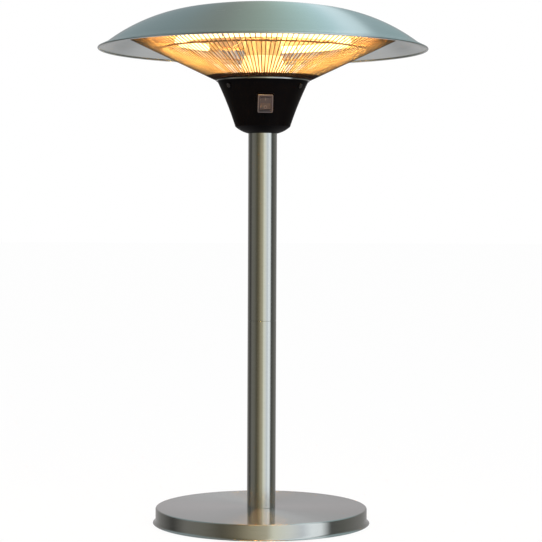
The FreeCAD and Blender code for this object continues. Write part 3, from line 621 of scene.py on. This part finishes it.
def deselect_mesh(kind):
    """Deselects the mesh and leaves edit mode, so that elements of this kind can be selected"""
    bpy.ops.mesh.select_all(action="DESELECT")
    bpy.ops.mesh.select_mode(type=kind)
    bpy.ops.object.mode_set(mode="OBJECT")


def select_faces(piece, test):
    """Selects the faces in edit mode that pass the test"""
    deselect_mesh("FACE")
    for polygon in piece.data.polygons:
        polygon.select = test(polygon)
    bpy.ops.object.mode_set(mode="EDIT")


def select_edges(piece, test):
    """Selects the edges in edit mode whose two ends pass the test"""
    deselect_mesh("EDGE")
    points = piece.data.vertices
    for edge in piece.data.edges:
        edge.select = test(*(points[end].co for end in edge.vertices))
    bpy.ops.object.mode_set(mode="EDIT")


def placed_copy(piece, name, matrix):
    """A copy with its own mesh, with its place in its mesh"""
    select_only(piece)
    bpy.ops.object.duplicate(linked=False)
    copy = bpy.context.object
    copy.name = name
    copy.data.name = name
    settle(copy, matrix)
    return copy


def joined(*pieces):
    """Joins all pieces into the first"""
    select_only(*pieces)
    bpy.ops.object.join()
    return pieces[0]


# Pieces

class HEATER_OT_finishes(bpy.types.Operator):
    """Make every finish and give one to each construction node"""
    bl_idname = "heater.finishes"
    bl_label = "Finishes"

    def execute(self, context):
        FINISHES.update(make_finishes(context.scene.heater_colours, context.scene.heater_guard))
        by_node = {part["node"]: part["material_slot"] for part in frame["record"]["subparts"]}
        # The record calls all fasteners steel, but the housing's screws are blackened
        by_node["housing_screws"] = "black_screw"
        for name, node in frame["nodes"].items():
            node.data.materials.clear()
            node.data.materials.append(FINISHES[by_node[name]])
        return {"FINISHED"}


class HEATER_OT_shade(bpy.types.Operator):
    """Spin the shade with its shoulder, lip and rolled hem"""
    bl_idname = "heater.shade"
    bl_label = "Shade"

    def execute(self, context):
        s = context.scene.heater_shade
        crown_steps = 10
        shoulder_steps = 22
        hem_steps = 24
        # Direction in degrees at which the rolled hem comes back to the inside of the lip
        hem_end = -219
        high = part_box("shade")[1]
        hem_reach = high.x - s.hem_radius
        hole_turn = math.degrees(math.asin(s.hole_radius / s.crown_radius))
        crown_turn = math.degrees(math.asin(s.crown_reach / s.crown_radius))
        crown_centre = rz(0, high.z - s.crown_radius * math.cos(math.radians(hole_turn)))
        join = math.radians(crown_turn)
        shift = (s.crown_radius - s.shoulder_radius) * rz(math.sin(join), math.cos(join))
        shoulder_centre = crown_centre + shift
        shoulder_turn = math.degrees(math.asin((s.shoulder_reach - shoulder_centre.x) / s.shoulder_radius))
        at_hole, at_join, at_lip = 90 - hole_turn, 90 - crown_turn, 90 - shoulder_turn
        outer = arc(crown_centre, s.crown_radius, at_hole, at_join, crown_steps)
        outer += arc(shoulder_centre, s.shoulder_radius, at_join, at_lip, shoulder_steps)[1:]
        inner = arc(shoulder_centre, s.shoulder_radius - s.sheet, at_lip, at_join, shoulder_steps)
        inner += arc(crown_centre, s.crown_radius - s.sheet, at_join, at_hole, crown_steps)[1:]
        lip_run = hem_reach - outer[-1].x
        hem_centre = rz(hem_reach, outer[-1].z - lip_run * math.tan(s.lip_slope) - s.hem_radius)
        hem = arc(hem_centre, s.hem_radius, 90, hem_end, hem_steps)
        hand_over(spun("shade_dome", outer + hem + inner), "shade_steel", "shade")
        return {"FINISHED"}


class HEATER_OT_crown(bpy.types.Operator):
    """Spin the domed nut and the washer on top of the shade"""
    bl_idname = "heater.crown"
    bl_label = "Crown nut"

    def execute(self, context):
        s = context.scene.heater_shade
        dome_steps = 10
        low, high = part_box("crown_nut")
        rise = high.z - low.z - s.nut_edge
        dome_radius = (high.x ** 2 + rise ** 2) / (2 * rise)
        dome_turn = math.degrees(math.asin(high.x / dome_radius))
        outline = [rz(0, low.z), rz(high.x - s.nut_bevel, low.z), rz(high.x, low.z + s.nut_bevel)]
        outline += arc(rz(0, high.z - dome_radius), dome_radius, 90 - dome_turn, 90, dome_steps)
        hand_over(spun("crown_cap_nut", outline, SMALL_ROUND), "fastener_steel", "crown_nut")
        outline = tube_outline("crown_washer", s.hole_radius, s.washer_bevel)
        hand_over(spun("crown_flat_washer", outline, SMALL_ROUND), "fastener_steel", "crown_washer")
        return {"FINISHED"}


class HEATER_OT_base(bpy.types.Operator):
    """Spin the base cover with its rounded edge and flared skirt, and cut the cord's hole"""
    bl_idname = "heater.base"
    bl_label = "Base"

    def execute(self, context):
        s = context.scene.heater_base
        edge_steps = 8
        inner_edge_steps = 6
        flare_steps = 10
        low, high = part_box("base_cover")
        flare_width = high.x - s.radius
        flare_top = low.z + s.flare_height
        flare_radius = (flare_width ** 2 + s.flare_height ** 2) / (2 * flare_width)
        flare_centre = rz(s.radius + flare_radius, flare_top)
        flare_turn = math.degrees(math.asin(s.flare_height / flare_radius))
        inner_turn = math.degrees(math.asin(s.flare_height / (flare_radius + s.sheet)))
        edge_centre = rz(s.radius - s.edge_radius, high.z - s.edge_radius)
        outer = [rz(s.hole_radius, high.z)] + arc(edge_centre, s.edge_radius, 90, 0, edge_steps)
        outer += arc(flare_centre, flare_radius, 180, 180 + flare_turn, flare_steps)
        inner = arc(flare_centre, flare_radius + s.sheet, 180 + inner_turn, 180, flare_steps)
        inner += arc(edge_centre, s.edge_radius - s.sheet, 0, 90, inner_edge_steps)
        inner += [rz(s.hole_radius, high.z - s.sheet)]
        cover = spun("base_disc", outer + inner)
        drill_length = 10 * s.sheet
        drill = begin(bpy.ops.mesh.primitive_cylinder_add, "cord_drill", vertices=48,
                      radius=s.cord_hole_radius, depth=drill_length, rotation=(math.radians(90), 0, 0),
                      location=(0, s.radius, middle_height("cable_bushing")))
        bpy.ops.object.mode_set(mode="OBJECT")
        cut_with(cover, drill)
        hand_over(cover, "base_steel", "base_cover", slot="satin_steel")
        return {"FINISHED"}


class HEATER_OT_pole(bpy.types.Operator):
    """Spin the two pole tubes, with a fine bevel where they meet"""
    bl_idname = "heater.pole"
    bl_label = "Pole"

    def execute(self, context):
        s = context.scene.heater_base
        for node in ("pole_lower", "pole_upper"):
            outline = tube_outline(node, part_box(node)[1].x - s.pole_wall, s.pole_bevel)
            hand_over(spun(node + "_tube", outline, SMALL_ROUND), "satin_steel", node)
        return {"FINISHED"}


class HEATER_OT_head(bpy.types.Operator):
    """Spin the flange, the column, the cone at its foot and the reflector"""
    bl_idname = "heater.head"
    bl_label = "Head"

    def execute(self, context):
        s = context.scene.heater_head
        stem_hole = context.scene.heater_shade.hole_radius
        self.spin_flange(s, stem_hole)
        self.spin_column(s)
        self.spin_reflector(s, stem_hole)
        return {"FINISHED"}

    def spin_flange(self, s, stem_hole):
        edge_steps = 6
        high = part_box("head_plate")[1]
        rim_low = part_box("housing_shell")[1].z - s.flange_drop
        rim_bore = high.x - s.flange_rim
        under = high.z - s.flange_sheet
        edge_centre = rz(high.x - s.flange_edge, high.z - s.flange_edge)
        outline = [rz(stem_hole, high.z)] + arc(edge_centre, s.flange_edge, 90, 0, edge_steps)
        outline += [rz(high.x, rim_low), rz(rim_bore, rim_low), rz(rim_bore, under), rz(stem_hole, under)]
        hand_over(spun("head_flange", outline), "bright_steel", "head_plate")

    def spin_column(self, s):
        low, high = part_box("column")
        bore = high.x - s.column_wall
        outline = [rz(high.x, low.z), rz(high.x, high.z), rz(bore, high.z), rz(bore, low.z)]
        tube = spun("column_tube", outline, SMALL_ROUND)
        hand_over(tube, "column_steel", "column", slot="bright_steel")
        top_inner = high.x + s.cone_gap
        top_outer = top_inner + s.column_wall
        low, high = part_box("column_cone")
        outline = [rz(high.x - s.column_wall, low.z), rz(high.x, low.z), rz(top_outer, high.z - s.cone_bevel),
                   rz(top_outer - s.cone_bevel, high.z), rz(top_inner, high.z)]
        cone = spun("column_skirt", outline, SMALL_ROUND)
        hand_over(cone, "cone_steel", "column_cone", slot="bright_steel")

    def spin_reflector(self, s, stem_hole):
        low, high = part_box("reflector")
        rim = low.z + s.reflector_lip
        inside = high.x - s.reflector_sheet
        under = high.z - s.reflector_sheet
        outline = [rz(stem_hole, under), rz(s.reflector_flat, under), rz(inside, rim), rz(inside, low.z),
                   rz(high.x, low.z), rz(high.x, rim + s.reflector_sheet), rz(s.reflector_flat, high.z),
                   rz(stem_hole, high.z)]
        hand_over(spun("reflector_dish", outline), "reflector_metal", "reflector")


class HEATER_OT_guard(bpy.types.Operator):
    """Sweep the guard's rings, model one wire and spin its copies round the axis"""
    bl_idname = "heater.guard"
    bl_label = "Guard"

    def execute(self, context):
        s = context.scene.heater_guard
        self.make_rings(s)
        self.make_wires(s)
        return {"FINISHED"}

    def make_rings(self, s):
        low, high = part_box("guard_bottom_ring")
        bore = high.x - s.band_wall
        edge = s.band_edge
        outline = [rz(bore, low.z), rz(high.x, low.z), rz(high.x, high.z - edge), rz(high.x - edge, high.z),
                   rz(bore + edge, high.z), rz(bore, high.z - edge)]
        hand_over(spun("guard_bottom_band", outline), "guard_ring", "guard_bottom_ring")
        for node in ("guard_mid_ring", "guard_top_ring"):
            low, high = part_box(node)
            wire = (high.z - low.z) / 2
            ring = swept(node + "_wire", high.x - wire, low.z + wire, wire, 0.0, FULL_TURN,
                         steps=FINE_ROUND, sides=12)
            hand_over(ring, "round_ring", node, slot="guard_wire")

    def make_wires(self, s):
        end_bevel = 0.45 * s.wire_radius
        start, along, wire_length = guard_line(s)
        wires = begin(bpy.ops.mesh.primitive_cylinder_add, "guard_fine_wires", vertices=8,
                      radius=s.wire_radius, depth=wire_length)
        select_faces(wires, lambda polygon: abs(polygon.normal.z) > FACING)
        bpy.ops.mesh.bevel(offset=end_bevel, segments=1, affect="EDGES")
        lean = Matrix.Rotation(math.acos(along.z), 4, "Y")
        settle(wires, Matrix.Translation(start + along * (wire_length / 2)) @ lean)
        edit_all()
        step = FULL_TURN / s.wire_count
        bpy.ops.mesh.spin(steps=s.wire_count - 1, dupli=True, angle=FULL_TURN - step,
                          center=(0, 0, 0), axis=(0, 0, 1))
        close(wires, math.radians(60))
        hand_over(wires, "guard_wire", "guard_wires")


class HEATER_OT_lamp(bpy.types.Operator):
    """Sweep the lamp's glowing tube and the ceramic caps at its ends"""
    bl_idname = "heater.lamp"
    bl_label = "Lamp"

    def execute(self, context):
        s = context.scene.heater_guard
        height = middle_height("lamp_tube")
        first = s.lamp_gap_middle + s.lamp_half_gap
        sweep = FULL_TURN - 2 * s.lamp_half_gap
        tube = swept("lamp_ring_tube", s.lamp_ring, height, s.lamp_radius, first, sweep, steps=160, sides=20)
        hand_over(tube, "lamp_glass", "lamp_tube")
        tube.visible_shadow = False
        low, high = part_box("lamp_end_caps")
        cap_radius = (high.z - low.z) / 2
        caps = []
        for cap_first in (first - s.cap_angle, first + sweep):
            cap = swept("lamp_cap", s.lamp_ring, height, cap_radius, cap_first, s.cap_angle,
                        steps=8, sides=24)
            edit_all()
            select_faces(cap, lambda polygon: len(polygon.vertices) > 4)
            bpy.ops.mesh.bevel(offset=s.cap_bevel, segments=3, affect="EDGES")
            caps.append(close(cap, math.radians(40)))
        both_caps = joined(*caps)
        both_caps.name = "lamp_ceramic_caps"
        hand_over(both_caps, "lamp_ceramic", "lamp_end_caps")
        return {"FINISHED"}


class HEATER_OT_switches(bpy.types.Operator):
    """Model a switch frame with its well and the marks of its rocker, and place them front and back"""
    bl_idname = "heater.switches"
    bl_label = "Switches"

    def execute(self, context):
        s = context.scene.heater_switch
        frame_model = self.model_frame(s)
        marks_model = self.model_marks(s)
        wall = Matrix.Rotation(math.radians(90) + s.wall_tilt, 4, "X")
        for side, turn in (("front", 0.0), ("rear", math.pi)):
            pivot = Vector(JOINTS[side + "_switch"]["pos_m"])
            place = Matrix.Translation(pivot) @ Matrix.Rotation(turn, 4, "Z") @ wall
            case = placed_copy(frame_model, f"switch_{side}_frame", place)
            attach(case, "heater")
            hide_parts(f"switch_{side}_case")
            at_rest = place @ Matrix.Rotation(-s.half_throw, 4, "X")
            marks = placed_copy(marks_model, f"switch_{side}_marks", at_rest)
            hand_over(marks, "switch_mark", body=side + "_rocker", slot="switch_rocker")
        bpy.data.objects.remove(frame_model)
        bpy.data.objects.remove(marks_model)
        return {"FINISHED"}

    def model_frame(self, s):
        """The frame round its rocker's pivot, with a raised rim, a field and a deep well"""
        depth = s.bezel_top - s.bezel_bottom
        half_face = s.width * s.height / 2
        piece = begin(bpy.ops.mesh.primitive_cube_add, "switch_frame_model", size=1.0)
        bpy.ops.transform.resize(value=(s.width, s.height, depth))
        bpy.ops.transform.translate(value=(0, 0, s.bezel_bottom + depth / 2))
        select_edges(piece, lambda a, b: abs(a.z - b.z) > depth / 2)
        bpy.ops.mesh.bevel(offset=s.corner, segments=6, affect="EDGES")
        select_edges(piece, lambda a, b: min(a.z, b.z) > s.bezel_top - depth / 4)
        bpy.ops.mesh.bevel(offset=s.rim_edge, segments=3, affect="EDGES")
        select_faces(piece, lambda polygon: polygon.normal.z > FACING and polygon.area > half_face)
        bpy.ops.mesh.inset(thickness=s.rim_width - s.rim_edge, depth=0)
        bpy.ops.mesh.inset(thickness=s.rim_slant, depth=-s.rim_step)
        bpy.ops.mesh.inset(thickness=s.field_ledge, depth=0)
        bpy.ops.mesh.extrude_region_move(TRANSFORM_OT_translate={"value": (0, 0, 0)})
        border = 2 * (s.rim_width + s.rim_slant + s.field_ledge)
        shrink = (s.well_width / (s.width - border), s.well_height / (s.height - border), 1.0)
        bpy.ops.transform.resize(value=shrink, center_override=(0, 0, 0))
        bpy.ops.mesh.extrude_region_move(TRANSFORM_OT_translate={"value": (0, 0, -s.well_depth)})
        close(piece, math.radians(35))
        self.paint_frame(piece, s)
        return piece

    def paint_frame(self, piece, s):
        """Gives the rim and the field of a switch frame their own finishes"""
        piece.data.materials.clear()
        piece.data.materials.append(FINISHES["switch_rim"])
        piece.data.materials.append(FINISHES["switch_frame"])
        half_width = s.width / 2 - s.rim_width
        half_height = s.height / 2 - s.rim_width
        for polygon in piece.data.polygons:
            centre = polygon.center
            in_field = abs(centre.x) < half_width and abs(centre.y) < half_height
            polygon.material_index = 1 if in_field else 0

    def model_marks(self, s):
        """The bar and the ring, each on its half of the rocker's face"""
        bar = begin(bpy.ops.mesh.primitive_cube_add, "switch_bar", size=1.0)
        bpy.ops.transform.resize(value=(s.mark_stroke, s.bar_length, s.mark_depth))
        bpy.ops.mesh.bevel(offset=s.mark_proud, segments=1, affect="EDGES")
        close(bar)
        ring = swept("switch_ring", s.ring_radius, 0.0, s.mark_stroke / 2, 0.0, FULL_TURN, steps=48, sides=8)
        edit_all()
        bpy.ops.transform.resize(value=(1.0, 1.0, s.mark_depth / s.mark_stroke), center_override=(0, 0, 0))
        close(ring)
        for mark, reach in ((bar, s.bar_reach), (ring, -s.ring_reach)):
            face = s.valley + abs(reach) * math.tan(s.half_throw)
            rise = face + s.mark_proud - s.mark_depth / 2
            lean = math.copysign(s.half_throw, reach)
            settle(mark, Matrix.Translation((0, reach, rise)) @ Matrix.Rotation(lean, 4, "X"))
        return joined(bar, ring)


# Stage

def white_rays(nodes):
    """1 for the rays that show the background: camera, glossy and transmission"""
    path = "LightPath"
    seen = nodes.add(path, output="Is Camera Ray") + nodes.add(path, output="Is Glossy Ray")
    return nodes.add("Clamp", None, {0: seen + nodes.add(path, output="Is Transmission Ray")})


class HEATER_OT_stage(bpy.types.Operator):
    """Set up the pale floor, the studio walls that the metal mirrors, the lights and the camera"""
    bl_idname = "heater.stage"
    bl_label = "Stage"

    white = (1.0, 1.0, 1.0, 1.0)
    wall_radius = 4.0
    # Direction of the camera, in degrees round from the front to the right
    camera_side = -4.0
    # Panels by their direction in degrees, from the camera round to the right, with their brightness
    low_panels = (
        (-180, (0.51, 0.50, 0.51)), (-140, (0.24, 0.24, 0.23)), (-108, (0.05, 0.05, 0.045)),
        (-86, (0.20, 0.20, 0.18)), (-62, (0.18, 0.18, 0.15)), (-42, (0.10, 0.095, 0.065)),
        (-26, (0.19, 0.17, 0.11)), (-8, (0.44, 0.41, 0.28)), (6, (0.56, 0.54, 0.40)),
        (13, (0.93, 0.96, 0.80)), (30, (0.93, 0.99, 0.95)), (44, (0.78, 0.86, 0.92)),
        (54, (1.12, 1.23, 1.28)), (66, (1.10, 1.20, 1.24)), (78, (0.08, 0.085, 0.08)),
        (95, (0.12, 0.125, 0.11)), (140, (0.26, 0.26, 0.25)), (180, (0.51, 0.50, 0.51)),
    )
    # Strips of the ceiling, by the direction in degrees in which the shade mirrors each as a ray
    ceiling = (
        (-60, (0.34, 0.41, 0.43)), (-30, (0.29, 0.36, 0.37)), (-14, (0.30, 0.33, 0.30)),
        (0, (0.42, 0.51, 0.44)), (14, (0.58, 0.78, 0.75)), (22, (0.66, 0.89, 0.94)),
        (27, (0.92, 1.10, 1.16)), (34, (0.84, 1.00, 1.04)), (38, (0.38, 0.49, 0.51)),
        (60, (0.36, 0.48, 0.49)),
    )
    # Slopes over which the panels turn into the ceiling and into the low grey, and the ceiling's front edge
    ceiling_slopes = (0.36, 0.62)
    ceiling_front = (-1.2, 0.2)
    low_slopes = (-0.22, -0.55)
    low_grey = (0.66, 0.63, 0.635)

    def execute(self, context):
        self.make_world(context.scene)
        self.make_floor()
        self.make_walls()
        self.make_light("key", place=(1.9, -2.0, 2.3), size=1.6, power=30.0)
        self.make_light("fill", place=(-2.3, -1.4, 1.9), size=1.8, power=15.0)
        self.make_camera(context.scene)
        context.scene.view_settings.view_transform = "Standard"
        return {"FINISHED"}

    def make_world(self, scene):
        light_level = 0.85
        world = bpy.data.worlds.new("studio")
        world.use_nodes = True
        scene.world = world
        nodes = Nodes(world.node_tree)
        level = white_rays(nodes) * (1.0 - light_level) + light_level
        sky = nodes.add("Background", None, {"Color": self.white, "Strength": level})
        nodes.add("OutputWorld", None, {"Surface": sky})

    def make_floor(self):
        white_share = 0.95
        floor = begin(bpy.ops.mesh.primitive_plane_add, "floor", size=60.0)
        close(floor)
        material, nodes = new_finish("pale_floor")
        speck = nodes.noise(nodes.place(), scale=300.0)
        paper = nodes.add("BsdfDiffuse", None, {"Color": nodes.blend(speck, (0.86,) * 3, (0.89,) * 3)})
        glow = nodes.add("Emission", None, {"Color": self.white, "Strength": 1.0})
        share = white_rays(nodes) * white_share
        nodes.surface(nodes.add("MixShader", None, {0: share, 1: paper, 2: glow}))
        floor.data.materials.append(material)
        floor.visible_glossy = False

    def make_walls(self):
        """A round studio wall that only reflections see"""
        walls = begin(bpy.ops.mesh.primitive_uv_sphere_add, "studio_walls", segments=96, ring_count=48,
                      radius=self.wall_radius)
        close(walls)
        material, nodes = new_finish("studio_wall")
        x, y, z = nodes.axes()
        turn = nodes.add("Math", {"operation": "ARCTAN2"}, {0: x, 1: y * -1.0})
        low_wall = nodes.ramp(turn / FULL_TURN + 0.5, self.panel_stops())
        tilt = math.radians(self.camera_side)
        aside = x * math.cos(tilt) + y * math.sin(tilt)
        ahead = y * math.cos(tilt) - x * math.sin(tilt)
        ray = nodes.add("Math", {"operation": "ARCTAN2"}, {0: aside, 1: self.wall_radius - ahead})
        strips = [(direction / 180 + 0.5, tint) for direction, tint in self.ceiling]
        high_wall = nodes.ramp(ray / math.pi + 0.5, strips)
        slope = z / (x * x + y * y) ** 0.5
        raised = nodes.slope(slope, *self.ceiling_slopes) * nodes.slope(y, *self.ceiling_front)
        sunken = nodes.slope(slope, *self.low_slopes)
        wall = nodes.blend(raised, low_wall, high_wall)
        wall = nodes.blend(sunken, wall, self.low_grey)
        nodes.surface(nodes.add("Emission", None, {"Color": wall, "Strength": 1.0}))
        walls.data.materials.append(material)
        walls.visible_camera = False
        walls.visible_diffuse = False
        walls.visible_shadow = False
        walls.visible_transmission = False

    def panel_stops(self):
        """The panels' places on a ramp that runs once round, from the back to the back"""
        stops = []
        for direction, tint in self.low_panels:
            place = (direction + self.camera_side) / 360 + 0.5
            stops.append((min(max(place, 0.0), 1.0), tint))
        return stops

    def make_light(self, name, place, size, power):
        heater_middle = Vector((0, 0, 0.45))
        turn = (heater_middle - Vector(place)).to_track_quat("-Z", "Y")
        bpy.ops.object.light_add(type="AREA", location=place, rotation=turn.to_euler())
        light = bpy.context.object
        light.name = name + "_light"
        light.data.size = size
        light.data.energy = power
        light.visible_glossy = False

    def make_camera(self, scene):
        stand = Vector((-0.1875, -2.6817, 0.4701))
        pitch = math.radians(-1.738)
        roll = math.radians(0.241)
        aside = 0.0136
        ahead = Vector((-stand.x, -stand.y, 0)).normalized()
        right = Vector((ahead.y, -ahead.x, 0))
        level = (right * aside - Vector((stand.x, stand.y, 0))).normalized()
        aim = level * math.cos(pitch) + Vector((0, 0, math.sin(pitch)))
        turn = aim.to_track_quat("-Z", "Y") @ Quaternion((0, 0, 1), roll)
        bpy.ops.object.camera_add(location=stand, rotation=turn.to_euler())
        camera = bpy.context.object
        camera.name = "photo_camera"
        camera.data.sensor_width = 36.0
        camera.data.lens = 116.39
        scene.camera = camera


class HEATER_PT_panel(bpy.types.Panel):
    """Sizes, colours and steps of the heater"""
    bl_idname = "HEATER_PT_panel"
    bl_label = "Tabletop Patio Heater"
    bl_space_type = "VIEW_3D"
    bl_region_type = "UI"
    bl_category = "Heater"

    def draw(self, context):
        for step in STEPS:
            self.layout.operator(step.bl_idname)
        for group in GROUPS:
            settings = getattr(context.scene, group)
            box = self.layout.box()
            for name in settings.__annotations__:
                box.prop(settings, name)


GROUPS = {
    "heater_shade": HeaterShadeSizes,
    "heater_head": HeaterHeadSizes,
    "heater_base": HeaterBaseSizes,
    "heater_switch": HeaterSwitchSizes,
    "heater_guard": HeaterGuardSizes,
    "heater_colours": HeaterColours,
}
STEPS = (
    HEATER_OT_finishes,
    HEATER_OT_shade,
    HEATER_OT_crown,
    HEATER_OT_base,
    HEATER_OT_pole,
    HEATER_OT_head,
    HEATER_OT_guard,
    HEATER_OT_lamp,
    HEATER_OT_switches,
    HEATER_OT_stage,
)


def register():
    for group in GROUPS.values():
        bpy.utils.register_class(group)
    for name, group in GROUPS.items():
        setattr(bpy.types.Scene, name, PointerProperty(type=group))
    for step in STEPS:
        bpy.utils.register_class(step)
    bpy.utils.register_class(HEATER_PT_panel)


def unregister():
    bpy.utils.unregister_class(HEATER_PT_panel)
    for step in reversed(STEPS):
        bpy.utils.unregister_class(step)
    for name, group in GROUPS.items():
        delattr(bpy.types.Scene, name)
        bpy.utils.unregister_class(group)


def main():
    register()
    for step in STEPS:
        family, action = step.bl_idname.split(".")
        getattr(getattr(bpy.ops, family), action)()


if __name__ == "__main__":
    main()
